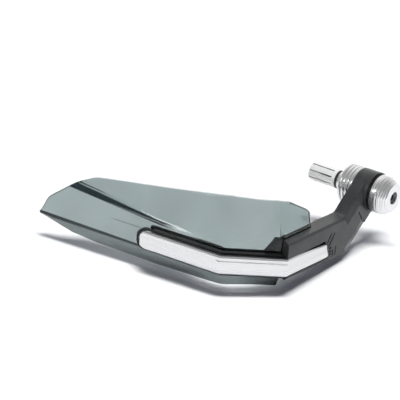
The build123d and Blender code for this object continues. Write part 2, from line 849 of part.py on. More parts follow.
# Two socket screws from the lattice side into the strip
head_seat = arm_in_x + boss_recess
with BuildPart() as arm_screws:
    with BuildSketch(Plane.YZ.offset(head_seat - arm_screw_head)):
        with Locations(*boss_places):
            Circle(arm_screw_head_r)
    extrude(amount=arm_screw_head)
    with BuildSketch(Plane.YZ.offset(head_seat)):
        with Locations(*boss_places):
            Circle(arm_screw_r)
    extrude(amount=path_x - strip_t + screw_bite - head_seat)
    with BuildSketch(Plane.YZ.offset(head_seat - arm_screw_head)):
        with Locations(*boss_places):
            RegularPolygon(arm_screw_hex / 2, 6, major_radius=False)
    extrude(amount=arm_screw_hex_depth, mode=Mode.SUBTRACT)
arm_screws.part.label = "arm_screws"
export_step(arm_screws.part, "parts/arm_screws.step")

# Three button-head screws through tongue, shield and rail into the strip
with BuildPart() as shield_screws:
    for station, way in shield_screw_axes(arm_in_w):
        with BuildSketch(Plane(station, z_dir=way)):
            Circle(shield_screw_head_r)
        extrude(amount=shield_screw_head, taper=shield_screw_taper)
        with BuildSketch(Plane(station, z_dir=way)):
            Circle(shield_screw_r)
        extrude(amount=-(arm_in_w - strip_t + screw_bite))
        with BuildSketch(Plane(station + way * shield_screw_head, z_dir=way)):
            RegularPolygon(shield_screw_hex / 2, 6, major_radius=False)
        extrude(amount=-shield_screw_hex_depth, mode=Mode.SUBTRACT)
shield_screws.part.label = "shield_screws"
export_step(shield_screws.part, "parts/shield_screws.step")
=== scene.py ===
import bmesh
import bpy
import math
import numpy as np
from mathutils import Matrix, Vector


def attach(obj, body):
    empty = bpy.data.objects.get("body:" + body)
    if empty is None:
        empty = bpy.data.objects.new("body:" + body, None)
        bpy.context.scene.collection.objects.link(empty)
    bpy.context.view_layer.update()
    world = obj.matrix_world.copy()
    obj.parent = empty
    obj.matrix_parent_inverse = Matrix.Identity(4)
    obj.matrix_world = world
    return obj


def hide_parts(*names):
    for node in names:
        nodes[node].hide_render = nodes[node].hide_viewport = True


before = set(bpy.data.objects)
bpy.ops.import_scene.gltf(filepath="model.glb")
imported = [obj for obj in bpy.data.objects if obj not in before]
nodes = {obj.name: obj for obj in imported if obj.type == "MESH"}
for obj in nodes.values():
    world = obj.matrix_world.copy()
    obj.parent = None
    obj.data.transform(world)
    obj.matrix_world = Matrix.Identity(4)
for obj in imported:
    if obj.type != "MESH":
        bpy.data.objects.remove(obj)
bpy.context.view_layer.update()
scene = bpy.context.scene

# Arm: one black moulding of glass-filled nylon, with its eye, its ribbed lattice back and the tongue
# behind the shield. It leaves the mould with a fine satin grain and edges that are slightly rounded.
arm_dark, arm_light = (0.026, 0.0265, 0.027), (0.042, 0.0425, 0.043)
# plane past which the arm gets painted shade: the tongue behind the shield is darker and less glossy
tongue_way, tongue_from, tongue_blend = (-0.409, -0.912, 0.0), 0.1085, 0.002


def node_maker(tree):
    """Function that adds a node to a tree, sets its properties, and sets or joins its inputs."""
    def node(kind, inputs=None, **settings):
        made = tree.nodes.new(kind)
        for key, value in settings.items():
            setattr(made, key, value)
        for key, value in (inputs or {}).items():
            if isinstance(value, bpy.types.NodeSocket):
                tree.links.new(value, made.inputs[key])
            else:
                made.inputs[key].default_value = value
        return made

    return node


def new_material(name):
    """A node material, its Principled shader, and functions that add a node and join two sockets."""
    mat = bpy.data.materials.new(name)
    mat.use_nodes = True
    tree = mat.node_tree
    return mat, tree.nodes["Principled BSDF"], node_maker(tree), tree.links.new


def noise(node, vector, scale, detail):
    """Cloudy grey between 0 and 1 over a vector."""
    return node("ShaderNodeTexNoise", {"Vector": vector, "Scale": scale, "Detail": detail}).outputs["Fac"]


def maths(node, operation, *values):
    """One sum of the Math node."""
    return node("ShaderNodeMath", dict(enumerate(values)), operation=operation).outputs[0]


def mapped(node, value, start, end, at_start=0.0, at_end=1.0):
    """Value carried from the range start to end over to another range, and held at that range's ends."""
    limits = {"From Min": start, "From Max": end, "To Min": at_start, "To Max": at_end}
    return node("ShaderNodeMapRange", {"Value": value, **limits}).outputs["Result"]


def multiplied(node, first, second):
    """Product of two colours."""
    colours = {"Factor": 1.0, "A": first, "B": second}
    return node("ShaderNodeMix", colours, data_type="RGBA", blend_type="MULTIPLY").outputs["Result"]


def ramp(node, factor, *stops):
    """Colour ramp through (place, grey or colour) stops."""
    made = node("ShaderNodeValToRGB", {"Fac": factor})
    elements = made.color_ramp.elements
    while len(elements) < len(stops):
        elements.new(0.5)
    for element, (place, colour) in zip(elements, stops):
        element.position = place
        element.color = (*(colour if isinstance(colour, tuple) else (colour,) * 3), 1.0)
    return made.outputs["Color"]


def moulded_black(name, dark, light, grain_scale, edge, gloss=0.5, shaded_past=None):
    """Satin black plastic: two greys in soft clouds, painted shade that darkens it and dims its gloss in
    slots and corners, and fine grain as bump over rounded edges. Past a plane, given as direction, distance
    and blend, all of it gets painted shade, darker and less glossy."""
    mat, shader, node, join = new_material(name)
    place = node("ShaderNodeTexCoord").outputs["Object"]
    cloud = noise(node, place, 60.0, 4.0)
    grain = noise(node, place, grain_scale, 3.0)
    # painted shade: ambient occlusion darkens the colour and dims the gloss in slots, corners and recesses
    open_share = node("ShaderNodeAmbientOcclusion", {"Distance": 0.004}, samples=8).outputs["AO"]
    # past the plane, all of it gets more painted shade
    if shaded_past:
        direction, start, blend = shaded_past
        past = node("ShaderNodeVectorMath", {0: place, 1: direction}, operation="DOT_PRODUCT")
        unshaded_share = mapped(node, past.outputs["Value"], start, start + blend, 1.0, 0.38)
        open_share = maths(node, "MULTIPLY", open_share, unshaded_share)
    tone = ramp(node, cloud, (0.3, dark), (0.7, light))
    shade = ramp(node, open_share, (0.2, 0.1), (0.65, 1.0))
    join(multiplied(node, tone, shade), shader.inputs["Base Color"])
    join(ramp(node, open_share, (0.2, 0.02), (0.65, gloss)), shader.inputs["Specular IOR Level"])
    join(ramp(node, grain, (0.25, 0.17), (0.75, 0.29)), shader.inputs["Roughness"])
    rounded = node("ShaderNodeBevel", {"Radius": edge}, samples=4).outputs["Normal"]
    relief = {"Height": grain, "Strength": 0.1, "Distance": 0.0002, "Normal": rounded}
    join(node("ShaderNodeBump", relief).outputs["Normal"], shader.inputs["Normal"])
    return mat


def dress(obj, mat):
    """Gives a CAD node or a piece this one material."""
    obj.data.materials.clear()
    obj.data.materials.append(mat)


# painted shade on the tongue behind the shield
tongue_shade = (tongue_way, tongue_from, tongue_blend)
dress(nodes["guard_arm"], moulded_black("arm_nylon", arm_dark, arm_light, 1800.0, 0.001, 0.3, tongue_shade))

# Shield: one folded pane of smoked polycarbonate, 3 mm thick, with a wing that stands in the arm's slot,
# a leaning upper pane, a step, and a blade with a ridge and a lower lip. Moulded, polished and trimmed.
mm = 0.001
path_x, bend_y, turn_1, turn_2, run_2 = 23.0, -128.0, 48.3, 34.1, 55.6
pane_w, pane_t, lip_w = 9.0, 3.0, 12.6
ridge_z, crease_z, lean_z, foot_z, slot_z = -45.2, -28.0, -22.0, -11.0, -20.5
lean_slope = math.tan(math.radians(20.0))
foot_half, foot_in = 0.7, 0.3
wing_back, wing_top, front_mid, front_top = 49.5, 9.8, 24.0, 15.8
blade_stations, blade_end, blade_top, top_fall, tip_top = (66.0, 130.0, 156.0), 191.0, 17.5, 0.125, 0.1
step_high, step_in, bend_step, mid_step, step_rise, tip_step = 2.6, 0.1, 6.5, 9.0, 0.092, 20.5
front_lip, bend_lip, blade_lips, corner_lip, tip_lip = 10.3, 11.8, (13.3, 12.2, 10.3), 2.5, 2.3
crease_soft, top_soft, rim_ease, probe = 0.9, 2.0, 0.35, 0.2


def way(turn):
    """Plan directions after a turn inboard: along the path, and inward from it."""
    t = math.radians(turn)
    return np.array([-math.sin(t), -math.cos(t)]), np.array([-math.cos(t), math.sin(t)])


def miter(before, after):
    """Inward vector in the plane that halves a bend, long enough that its offset stays parallel."""
    return way((before + after) / 2)[1] / math.cos(math.radians((after - before) / 2))


go_1, in_1 = way(0)
go_2, in_2 = way(turn_1)
go_3, in_3 = way(turn_1 + turn_2)
bend_1 = np.array([path_x, bend_y])
bend_2 = bend_1 + go_2 * run_2
in_bend_1, in_bend_2 = miter(0, turn_1), miter(turn_1, turn_1 + turn_2)


def along_path(s, stations, origins, inwards, w, soft):
    """Plan point at station s, w inward: straight runs between stations, each point the mean of seven
    over a length of 2 * soft, which rounds the bends."""
    total = 0.0
    for share in np.linspace(-1, 1, 7):
        at = s + soft * share
        k = np.clip(np.searchsorted(stations, at, side="right") - 1, 0, len(stations) - 2)
        t = ((at - stations[k]) / (stations[k + 1] - stations[k]))[..., None]
        origin = origins[k] * (1 - t) + origins[k + 1] * t
        inward = inwards[k] * (1 - t) + inwards[k + 1] * t
        total = total + origin + inward * w[..., None]
    return total / 7


def leaned(z):
    """Inward place of the leaning upper pane at height z."""
    return pane_w + (z - lean_z) * lean_slope


def front(top):
    """Creases (w, z) of the front section and the wing, from the lip up."""
    return [(lip_w, ridge_z - front_lip), (pane_w, ridge_z), (pane_w, crease_z),
            (pane_w, foot_z - foot_half), (pane_w + foot_in, foot_z + foot_half), (leaned(top), top)]


def blade(lip, step, top):
    """Creases of the blade: lip, ridge, crease, foot and head of the step, top edge."""
    foot = crease_z + step
    head = foot + step_high
    return [(lip_w, ridge_z - lip), (pane_w, ridge_z), (pane_w, crease_z), (pane_w, foot),
            (max(leaned(head), pane_w + step_in), head), (leaned(top), top)]


def blade_at(s, lip):
    """Creases of the blade at a station: its step rises and its top falls evenly with s."""
    return blade(lip, mid_step + step_rise * (s - blade_stations[0]), blade_top - top_fall * s)


blade_runs = (*blade_stations, blade_end)
pane_stations = np.array([-wing_back, 0.0, front_mid, run_2] + [run_2 + s for s in blade_runs])
pane_origins = np.array([bend_1 - go_1 * wing_back, bend_1, bend_1 + go_2 * front_mid, bend_2]
                        + [bend_2 + go_3 * s for s in blade_runs])
pane_inwards = np.array([in_1, in_bend_1, in_2, in_bend_2] + [in_3] * len(blade_runs))
creases = np.array([front(wing_top), front(front_top), front(front_top),
                    blade(bend_lip, bend_step, blade_top),
                    *[blade_at(s, lip) for s, lip in zip(blade_stations, blade_lips)],
                    blade(tip_lip, tip_step, tip_top)])
# one more crease past the lip and one past the top edge, in line with the last two
below, above = 2 * creases[:, :1] - creases[:, 1:2], 2 * creases[:, -1:] - creases[:, -2:-1]
creases = np.concatenate([below, creases, above], 1)


def pane_width(s, z, soft):
    """Inward place w of the outer face at station s and height z: the creases of the two sections
    either side are mixed, w runs straight between them, and a mean over 2 * soft rounds each crease."""
    k = np.clip(np.searchsorted(pane_stations, s, side="right") - 1, 0, len(pane_stations) - 2)
    t = ((s - pane_stations[k]) / (pane_stations[k + 1] - pane_stations[k]))[..., None, None]
    mixed = creases[k] * (1 - t) + creases[k + 1] * t
    low, high = mixed[..., :-1, :], mixed[..., 1:, :]
    total = 0.0
    for share in np.linspace(-1, 1, 7):
        height = (z + soft * share)[..., None]
        part = np.clip((height - low[..., 1]) / np.maximum(high[..., 1] - low[..., 1], 1e-6), 0, 1)
        total = total + mixed[..., 0, 0] + ((high[..., 0] - low[..., 0]) * part).sum(-1)
    return total / 7


# outline: lower edge and top edge as (station, height), the wing's slanted back end as (height, reach back)
wing_stop, tip_corner = -0.3, 190.0
low_line = [(-wing_back, slot_z), (wing_stop, slot_z), (0.0, ridge_z - front_lip),
            (front_mid, ridge_z - front_lip), (run_2, ridge_z - bend_lip),
            *[(run_2 + s, ridge_z - lip) for s, lip in zip(blade_stations, blade_lips)],
            (run_2 + tip_corner, ridge_z - corner_lip), (run_2 + blade_end, ridge_z - tip_lip)]
tip_line = [(131.0, 1.1), (140.0, -0.5), (blade_stations[2], -8.0), (181.5, -27.0),
            (tip_corner, -43.4), (blade_end, -43.6)]
top_line = [(-wing_back, -1.6), (-47.1, 1.6), (-24.9, 10.6), (0.0, front_top), (front_mid, front_top),
            (run_2, blade_top), *[(run_2 + s, z) for s, z in tip_line]]
end_line = [(slot_z, 43.1), (-9.0, 44.0), (-1.6, 47.4)]

columns = np.unique(np.concatenate([
    np.linspace(-wing_back, -4, 60), np.linspace(-4, 4, 33), np.linspace(4, run_2 - 8, 40),
    np.linspace(run_2 - 8, run_2 + 8, 33), np.linspace(run_2 + 8, run_2 + 150, 90),
    np.linspace(run_2 + 150, run_2 + blade_end, 60), [wing_stop]]))
rows = np.concatenate([[0.0, 0.006], np.linspace(0.015, 0.985, 130), [0.994, 1.0]])
shifts = np.linspace(-top_soft, top_soft, 9)
top_edge = np.mean([np.interp(columns + shift, *zip(*top_line)) for shift in shifts], axis=0)
low_edge = np.interp(columns, *zip(*low_line))
pane_s = np.repeat(columns[:, None], len(rows), 1)
pane_z = low_edge[:, None] + (top_edge - low_edge)[:, None] * rows[None, :]

# the wall is measured along w, so it widens where the face slants, less and less towards the tip
outer_w = pane_width(pane_s, pane_z, crease_soft)
w_change = pane_width(pane_s, pane_z + probe, crease_soft) - pane_width(pane_s, pane_z - probe, crease_soft)
slant = w_change / (2 * probe)
wall_w = pane_t * np.sqrt(1 + slant ** 2 * np.clip((run_2 + blade_end - pane_s) / 25, 0, 1))

# half the length over which a bend is rounded: more towards the blade, and above the foot at bend 1
free = np.clip((pane_z - foot_z) / 6, 0, 1)
fold_soft = np.interp(pane_s, [5, 40, run_2], [1.5, 4.0, 7.0]) + 4.0 * free * np.clip(1 - pane_s / 30, 0, 1)


def pane_face(w):
    """Points of one face of the pane at inward place w; the wing's back end follows its slanted edge."""
    plan = along_path(pane_s, pane_stations, pane_origins, pane_inwards, w, fold_soft)
    pull = np.clip(-pane_s / wing_back, 0, 1) * (wing_back - np.interp(pane_z, *zip(*end_line)))
    return np.stack([plan[..., 0], plan[..., 1] - pull, pane_z], -1).reshape(-1, 3) * mm


def grid_faces(down, across, closed=False):
    """Quads between neighbours of a grid stored row by row, joined round its rows where closed."""
    i = np.arange(down - 1)[:, None] * across
    j = np.arange(across if closed else across - 1)[None, :]
    k = (j + 1) % across
    return np.stack([i + j, i + k, i + across + k, i + across + j], -1).reshape(-1, 4)


def make_piece(name, points, faces, uv, sharp):
    """Mesh object at the origin with smooth faces, sharp edges past an angle, outward normals and a
    UV map that is given point by point."""
    mesh = bpy.data.meshes.new(name)
    mesh.from_pydata(points.tolist(), [], [list(f) for f in faces])
    corner = np.zeros(len(mesh.loops), np.int32)
    mesh.loops.foreach_get("vertex_index", corner)
    mesh.uv_layers.new(name="along").data.foreach_set("uv", uv[corner].astype(np.float32).ravel())
    work = bmesh.new()
    work.from_mesh(mesh)
    bmesh.ops.recalc_face_normals(work, faces=work.faces)
    work.to_mesh(mesh)
    work.free()
    mesh.polygons.foreach_set("use_smooth", np.ones(len(mesh.polygons), bool))
    mesh.set_sharp_from_angle(angle=math.radians(sharp))
    obj = bpy.data.objects.new(name, mesh)
    scene.collection.objects.link(obj)
    return obj


count_s, count_z = pane_s.shape
edge_ease = np.zeros(pane_s.shape)
edge_ease[:, [0, -1]] = rim_ease
edge_ease[[0, -1], :] = rim_ease
outer, inner = pane_face(outer_w + edge_ease), pane_face(outer_w + wall_w - edge_ease)
index = np.arange(count_s * count_z).reshape(count_s, count_z)
border = np.concatenate([index[:-1, 0], index[-1, :-1], index[:0:-1, -1], index[0, :0:-1]])
after = np.roll(border, -1)
rim = np.stack([border, after, after + index.size, border + index.size], -1)
skin = grid_faces(count_s, count_z)
pane_uv = np.tile(np.stack([pane_s, pane_z], -1).reshape(-1, 2) * mm, (2, 1))
shield = make_piece("smoked_shield", np.concatenate([outer, inner]),
                    np.concatenate([skin, skin[:, ::-1] + index.size, rim]), pane_uv, 40.0)


def band(value, low, high, soft):
    """1 between low and high, falling to 0 over soft on either side."""
    return np.clip((value - low) / soft + 1, 0, 1) * np.clip((high - value) / soft + 1, 0, 1)


def rising(value, start, length):
    """0 up to start, then rising evenly to 1 over a length."""
    return np.clip((value - start) / length, 0, 1)


def keep_on_shield(name, values):
    """Stores one number for each point of the shield, for its material to read."""
    shield.data.attributes.new(name, "FLOAT", "POINT").data.foreach_set("value", values.astype(np.float32))


# painted shade on the pane, as shares from 0 to 1: dark lines at the step, ridge, crease, lower edge and
# trimmed ends, a darker lip, and a little over all of it past the first bend
blade_s = pane_s - run_2
step_z = crease_z + np.interp(blade_s, [0.0, blade_stations[0], blade_end], [bend_step, mid_step, tip_step])
on_step = band(pane_z - step_z, -0.7, 1.7 + 0.012 * (blade_s - 50), 0.4) * rising(blade_s, 48, 14)
ridge_top = 0.6 + 0.012 * np.clip(blade_s, 0, None)
on_ridge = band(pane_z - ridge_z, -0.6, ridge_top, 0.4) * rising(pane_s, 0, 5)
lip_painted_shade = np.interp(pane_s, [0, 12, 30, run_2, run_2 + 60], [0.93, 0.76, 0.64, 0.54, 0.47])
on_lip = np.clip((ridge_z - pane_z) / 1.2, 0, 1) * lip_painted_shade
on_crease = band(pane_z - crease_z, -0.3, 0.3, 0.8) * band(blade_s, 82, 108, 8)
on_foot = np.clip(1.3 - (pane_z - low_edge[:, None]), 0, 1) * band(blade_s, -run_2, 130, 20)
below_top = (top_edge[:, None] - pane_z) * 0.8
on_tip = np.clip(1.4 - np.minimum(blade_end - blade_s, below_top), 0, 1) * (blade_s > 150)
on_wing = np.clip(1.5 - np.minimum(pane_s + wing_back, below_top), 0, 1) * (pane_s < -20)
painted_darkening = [(0.985, on_step), (0.97, on_ridge), (1.0, on_lip), (0.3, on_crease), (0.35, on_foot),
          (0.75, on_tip), (0.7, on_wing), (0.07, rising(pane_s, 0, 6))]
painted_clearness = np.prod([1 - most * share for most, share in painted_darkening], axis=0).ravel()

# the outer face carries the tint of both faces
keep_on_shield("painted_clearness", np.concatenate([painted_clearness ** 2, np.ones(painted_clearness.size)]))

# how much lamp light each face lets through to the floor: most between the bends
lamp_share = np.interp(pane_s, [16, 26, run_2 + 14, run_2 + 30], [0.2, 0.97, 0.97, 0.2])
keep_on_shield("lamp_share", np.tile(lamp_share.ravel(), 2))

# clear plastic that darkens with the length of the way through it, and that lets a set share of the
# lamps' light through
smoke_tint, smoke_per_m = (0.2, 0.33, 0.325, 1.0), 405.0
smoked, shader, node, join = new_material("smoked_pane")
place = node("ShaderNodeTexCoord").outputs["Object"]
haze = noise(node, place, 22.0, 5.0)
join(ramp(node, haze, (0.3, 0.02), (0.75, 0.07)), shader.inputs["Roughness"])
wave = node("ShaderNodeBump", {"Height": haze, "Strength": 0.08, "Distance": 0.002}).outputs["Normal"]
join(wave, shader.inputs["Normal"])
# the painted clearness darkens the base colour: painted shade on the pane
painted_clear_share = node("ShaderNodeAttribute", attribute_name="painted_clearness").outputs["Fac"]
painted_clear_tint = ramp(node, painted_clear_share, (0.0, (0.0, 0.0015, 0.0025)), (1.0, 1.0))
join(multiplied(node, painted_clear_tint, ramp(node, haze, (0.3, 0.86), (0.7, 1.0))), shader.inputs["Base Color"])
shader.inputs["Transmission Weight"].default_value = 1.0
shader.inputs["IOR"].default_value = 1.45
through = node("ShaderNodeAttribute", attribute_name="lamp_share").outputs["Color"]
lamp_way = node("ShaderNodeBsdfTransparent", {"Color": through}).outputs["BSDF"]
lamp_ray = node("ShaderNodeLightPath").outputs["Is Shadow Ray"]
either = node("ShaderNodeMixShader", {0: lamp_ray, 1: shader.outputs["BSDF"], 2: lamp_way})
smoke_density = maths(node, "MULTIPLY_ADD", lamp_ray, -smoke_per_m, smoke_per_m)
smoke = node("ShaderNodeVolumeAbsorption", {"Color": smoke_tint, "Density": smoke_density})
output = smoked.node_tree.nodes["Material Output"]
join(either.outputs["Shader"], output.inputs["Surface"])
join(smoke.outputs["Volume"], output.inputs["Volume"])
dress(shield, smoked)
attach(shield, "root")
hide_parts("wind_shield")

# Rail: black moulded plastic between the shield and the strip, held by the screws that hold both.
# It shows as a thin dark line round the strip.
rail_dark, rail_light = (0.006, 0.006, 0.007), (0.01, 0.01, 0.011)
dress(nodes["front_rail"], moulded_black("rail_plastic", rail_dark, rail_light, 2200.0, 0.0005, 0.25))

# Trim strip: aluminium bar 16 mm high and 5 mm thick, bent twice, with a rounded tip, bevelled edges and
# a fine line milled below its top edge. Brushed along its length, clear anodised, screwed on from behind.
strip_z, half_h, strip_t, strip_tip, bevel, back_bevel = -34.0, 8.0, 5.0, 79.0, 1.2, 0.4
top_back, strip_back, strip_fall, strip_sag, lean_from = 57.0, 62.5, 3.4, 1.5, 30.0
tip_r, heel_bevel, strip_soft = 6.5, 2.2, 0.5
line_z, line_w, line_deep, face_half = 4.4, 1.0, 0.8, 2.7
half_profile = np.array([
    (strip_t, 0.0), (strip_t, half_h - back_bevel), (strip_t - back_bevel, half_h), (bevel, half_h),
    (0.0, half_h - bevel), (0.0, line_z), (0.0, line_z - line_w / 2), (0.0, line_z - line_w),
    (0.0, face_half)])
line_row = 6
profile = np.concatenate([half_profile, half_profile[:0:-1] * (1, -1)])
tip_s = run_2 + strip_tip
strip_s = np.unique(np.concatenate([
    np.linspace(-strip_back, -3, 24), np.linspace(-3, 3, 25), np.linspace(3, run_2 - 3, 24),
    np.linspace(run_2 - 3, run_2 + 3, 25), np.linspace(run_2 + 3, tip_s - tip_r, 24),
    tip_s - tip_r * (1 - np.sin(np.linspace(0, math.pi / 2, 24)))]))

# the tip is rounded, and the back end falls at its top, sags at its bottom and leans
reach = np.clip((strip_s - tip_s + tip_r) / tip_r, 0, 1)
tip_h = (half_h - tip_r + tip_r * np.sqrt(1 - reach ** 2)) / half_h
strip_w = np.maximum(profile[None, :, 0], bevel - (tip_s - strip_s[:, None]))
strip_w[:, line_row] = line_deep * np.interp(strip_s, [-1.0, 0.0, run_2, run_2 + 4], [0.0, 1.0, 1.0, 0.0])
fallen = half_h - strip_fall * np.clip((-strip_s - strip_t) / (top_back - strip_t), 0, 1)
sagged = half_h + strip_sag * np.clip((-strip_s - strip_t) / (strip_back - strip_t), 0, 1)
half_share = profile[None, :, 1] / half_h * tip_h[:, None]
strip_h = np.where(half_share > 0, half_share * fallen[:, None], half_share * sagged[:, None])
heel = -sagged + np.maximum(0, -strip_s - strip_back + heel_bevel)
strip_h = np.maximum(strip_h, heel[:, None])
leaning_end = np.interp(strip_h, [-half_h - strip_sag, half_h - strip_fall], [strip_back, top_back])
pull = rising(-strip_s[:, None], lean_from, strip_back - lean_from) * (strip_back - leaning_end)
strip_stations = np.array([-strip_back, 0.0, run_2, tip_s])
strip_origins = np.array([bend_1 - go_1 * strip_back, bend_1, bend_2, bend_2 + go_3 * strip_tip])
strip_inwards = np.array([in_1, in_bend_1, in_bend_2, in_3])
station = strip_s[:, None] + pull
plan = along_path(station, strip_stations, strip_origins, strip_inwards, strip_w, strip_soft)
strip_points = np.concatenate([plan, (strip_z + strip_h)[..., None]], -1).reshape(-1, 3) * mm
ring = len(profile)
ends = [range(ring), range(len(strip_points) - ring, len(strip_points))]
strip_uv = np.stack([station, strip_h + strip_w], -1).reshape(-1, 2) * mm
strip_faces = [*grid_faces(len(strip_s), ring, closed=True), *ends]
strip = make_piece("bright_strip", strip_points, strip_faces, strip_uv, 25.0)


def lined_metal(name, colour, rough, lines_along, lines_across, spread):
    """Metal with fine lines that follow the piece's UV map: noise drawn out along the lines gives tone,
    roughness and bump."""
    mat, shader, node, join = new_material(name)
    along = node("ShaderNodeUVMap", uv_map="along").outputs["UV"]
    drawn = node("ShaderNodeMapping", {"Vector": along, "Scale": (lines_along, lines_across, 1.0)})
    lines = noise(node, drawn.outputs["Vector"], 1.0, 5.0)
    dim = tuple(spread * c for c in colour)
    join(ramp(node, lines, (0.3, dim), (0.7, colour)), shader.inputs["Base Color"])
    join(ramp(node, lines, (0.25, rough - 0.05), (0.75, rough + 0.07)), shader.inputs["Roughness"])
    bump = node("ShaderNodeBump", {"Height": lines, "Strength": 0.15, "Distance": 0.0001})
    join(bump.outputs["Normal"], shader.inputs["Normal"])
    shader.inputs["Metallic"].default_value = 1.0
    return mat


dress(strip, lined_metal("brushed_strip", (0.79, 0.79, 0.79), 0.26, 6.0, 1100.0, 0.8))
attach(strip, "root")
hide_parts("trim_strip")

# Screws: stainless socket screws, two put in from the lattice side of the arm and three through the
# tongue. All of them end in tapped holes in the strip.
screw_grey = (0.66, 0.66, 0.67)


def plain_metal(name, colour, rough, edge, bare=1.0):
    """Rolled or plated metal: speckled tone and roughness, edges slightly rounded. A bare share below 1
    stands for a milky anodised skin."""
    mat, shader, node, join = new_material(name)
    place = node("ShaderNodeTexCoord").outputs["Object"]
    speck = noise(node, place, 900.0, 4.0)
    dim = tuple(0.85 * c for c in colour)
    join(ramp(node, speck, (0.3, dim), (0.7, colour)), shader.inputs["Base Color"])
    join(ramp(node, speck, (0.25, rough - 0.05), (0.75, rough + 0.08)), shader.inputs["Roughness"])
    rounded = node("ShaderNodeBevel", {"Radius": edge}, samples=4)
    join(rounded.outputs["Normal"], shader.inputs["Normal"])
    shader.inputs["Metallic"].default_value = bare
    return mat


screw_steel = plain_metal("screw_steel", screw_grey, 0.26, 0.0003)
dress(nodes["arm_screws"], screw_steel)
dress(nodes["shield_screws"], screw_steel)

# Cup: turned from aluminium bar, with a hub that enters the handlebar tube, a recess for the end of the
# tube, and three grip grooves. It is left bright from the lathe, and its faint shadow is left out.
bolt_hole, hub_end, spigot_x, spigot_r, hub_r = 3.2, -15.5, -13.0, 6.1, 8.5
recess_r, mouth_x, mouth_r, mouth_bevel_x = 13.5, -6.0, 17.0, -5.0
cup_r, cup_grooves, back_bevel_x, back_x, back_r = 17.98, (-2.4, 1.0, 4.4), 7.4, 8.0, 17.4
spokes, uv_per_radian = 145, 0.01


def eased(corners, radius):
    """Closed profile with each corner drawn as a short curve between points set back along its edges."""
    points = np.array(corners, float)
    before, after = np.roll(points, 1, 0) - points, np.roll(points, -1, 0) - points
    room = np.minimum(np.linalg.norm(before, axis=1), np.linalg.norm(after, axis=1))
    back = np.minimum(radius, 0.4 * room)[:, None]
    first = points + before / np.linalg.norm(before, axis=1)[:, None] * back
    last = points + after / np.linalg.norm(after, axis=1)[:, None] * back
    t = np.linspace(0, 1, 4)[None, :, None]
    curve = (1 - t) ** 2 * first[:, None] + 2 * t * (1 - t) * points[:, None] + t ** 2 * last[:, None]
    return curve.reshape(-1, 2)


def turned_piece(name, corners, radius):
    """Closed profile of (x, r) corners, eased and swept round the bar's axis. Its UV is the angle and the
    length along the profile."""
    outline = eased(corners, radius)
    outline = np.concatenate([outline, outline[:1]])
    length = np.concatenate([[0], np.cumsum(np.linalg.norm(np.diff(outline, axis=0), axis=1))])
    angle = np.linspace(0, 2 * math.pi, spokes)
    x, r = np.repeat(outline[:, :1], spokes, 1), outline[:, 1:]
    points = np.stack([x, r * np.cos(angle), r * np.sin(angle)], -1).reshape(-1, 3) * mm
    uv = np.stack(np.broadcast_arrays(angle[None, :] * uv_per_radian, length[:, None] * mm), -1)
    piece = make_piece(name, points, grid_faces(len(outline), spokes), uv.reshape(-1, 2), 30.0)
    merge = bmesh.new()
    merge.from_mesh(piece.data)
    bmesh.ops.remove_doubles(merge, verts=merge.verts, dist=1e-7)
    bmesh.ops.recalc_face_normals(merge, faces=merge.faces)
    merge.to_mesh(piece.data)
    merge.free()
    return piece


def groove(x, r, slope=0.0, half=0.64):
    """Three corners of a V groove cut square into a surface that falls by slope."""
    run = half / (1 + slope)
    return [(x - run, r + slope * run), (x, r - half), (x + run, r - slope * run)]


cup = turned_piece("turned_cup", [
    (hub_end, bolt_hole), (hub_end, spigot_r), (spigot_x, spigot_r), (spigot_x, hub_r), (0.0, hub_r),
    (0.0, recess_r), (mouth_x, recess_r), (mouth_x, mouth_r), (mouth_bevel_x, cup_r),
    *[corner for x in cup_grooves for corner in groove(x, cup_r)],
    (back_bevel_x, cup_r), (back_x, back_r), (back_x, bolt_hole)], 0.25)
lathe_bright = lined_metal("turned_aluminium", (0.88, 0.88, 0.885), 0.24, 20.0, 1500.0, 0.7)
dress(cup, lathe_bright)
cup.visible_shadow = False
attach(cup, "root")
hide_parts("bar_end_cup")

# Sealing ring, sleeve and cone nut: black rubber ring, slit aluminium sleeve that spreads in the tube,
# and the plated nut that the bolt draws into it.
rubber_dark, rubber_light = (0.01, 0.01, 0.01), (0.016, 0.016, 0.016)
sleeve_pale, nut_grey = (0.92, 0.92, 0.9), (0.6, 0.6, 0.58)
dress(nodes["sealing_ring"], moulded_black("ring_rubber", rubber_dark, rubber_light, 2500.0, 0.0004))
dress(nodes["expansion_sleeve"], plain_metal("sleeve_aluminium", sleeve_pale, 0.38, 0.0003, 0.4))
dress(nodes["cone_nut"], plain_metal("zinc_steel", nut_grey, 0.28, 0.0002))

# Washer: black nylon ring between the eye of the arm and the weight. The bolt clamps it there with the
# rest of the bar end.
dress(nodes["eye_washer"], moulded_black("washer_plastic", rail_dark, rail_light, 2200.0, 0.0004, 0.25))

# Weight: turned aluminium, with a plain band and then five grip grooves down its tapered end. It is
# counterbored for the head of the bolt that holds it, and its faint shadow is left out.
weight_x, weight_tip, weight_r, weight_end_r, weight_bevel = 25.9, 41.7, 17.0, 12.8, 0.8
nose_x, nose_gap, band_groove, nose_grooves = 34.5, 0.75, 32.8, (34.8, 36.6, 38.5, 40.4)
head_x, head_r = 33.7, 5.6
fall = (weight_r - weight_end_r) / (weight_tip - nose_x)
weight = turned_piece("turned_weight", [
    (weight_x, bolt_hole), (weight_x, weight_r - weight_bevel), (weight_x + weight_bevel, weight_r),
    *groove(band_groove, weight_r), (nose_x - nose_gap, weight_r),
    *[corner for x in nose_grooves for corner in groove(x, weight_r - fall * max(0, x - nose_x), fall)],
    (weight_tip, weight_end_r), (weight_tip, head_r), (head_x, head_r), (head_x, bolt_hole)], 0.2)
dress(weight, lathe_bright)
weight.visible_shadow = False
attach(weight, "root")
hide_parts("bar_end_weight")

# Bolt: black oxide socket bolt, put in from the weight's end. It runs through the whole clamp and draws
# the cone nut into the sleeve.
dress(nodes["bar_end_bolt"], plain_metal("dark_steel", (0.16, 0.16, 0.165), 0.32, 0.0003))

